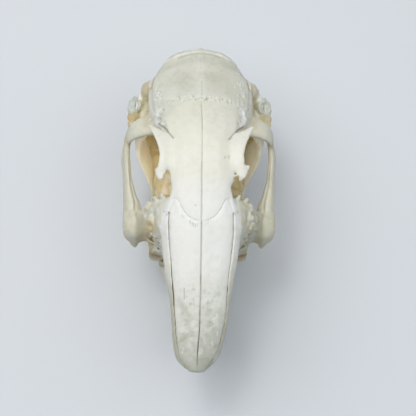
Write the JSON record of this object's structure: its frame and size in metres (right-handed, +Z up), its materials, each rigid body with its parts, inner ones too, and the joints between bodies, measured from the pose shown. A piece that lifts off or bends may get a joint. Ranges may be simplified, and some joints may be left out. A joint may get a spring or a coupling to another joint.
{
  "type": "rabbit skull",
  "caption": "Cleaned rabbit skull with its lower jaw closed, standing on the jaw's lower edge, for display or study.",
  "frame": {"origin": "on the floor under the middle of the skull's bounding box", "axes": "+Z up, the nose points to -Y, the back of the skull to +Y, the left and right sides lie along X"},
  "size_m": [0.0434, 0.0898, 0.055],
  "materials": {
    "bone": "bleached dry bone, ivory white with a faint yellow tint, satin",
    "bone_base": "dry bone with ochre and olive stains in its hollows, satin",
    "tooth": "tooth enamel, cream to ochre, with a soft gloss"
  },
  "bodies": {
    "root": {"nasal_left": "bone", "nasal_right": "bone", "premaxilla_left": "bone", "premaxilla_right": "bone", "frontal_left": "bone", "frontal_right": "bone", "parietal_left": "bone", "parietal_right": "bone", "temporal_left": "bone", "temporal_right": "bone", "zygomatic_arch_left": "bone", "zygomatic_arch_right": "bone", "tympanic_bulla_left": "bone", "tympanic_bulla_right": "bone", "mandible_left": "bone", "mandible_right": "bone", "maxilla_left": "bone_base", "maxilla_right": "bone_base", "upper_incisor_left": "tooth", "upper_incisor_right": "tooth", "peg_tooth_left": "tooth", "peg_tooth_right": "tooth", "lower_incisor_left": "tooth", "lower_incisor_right": "tooth", "occipital": "bone", "sphenoid": "bone_base"}
  },
  "joints": []
}
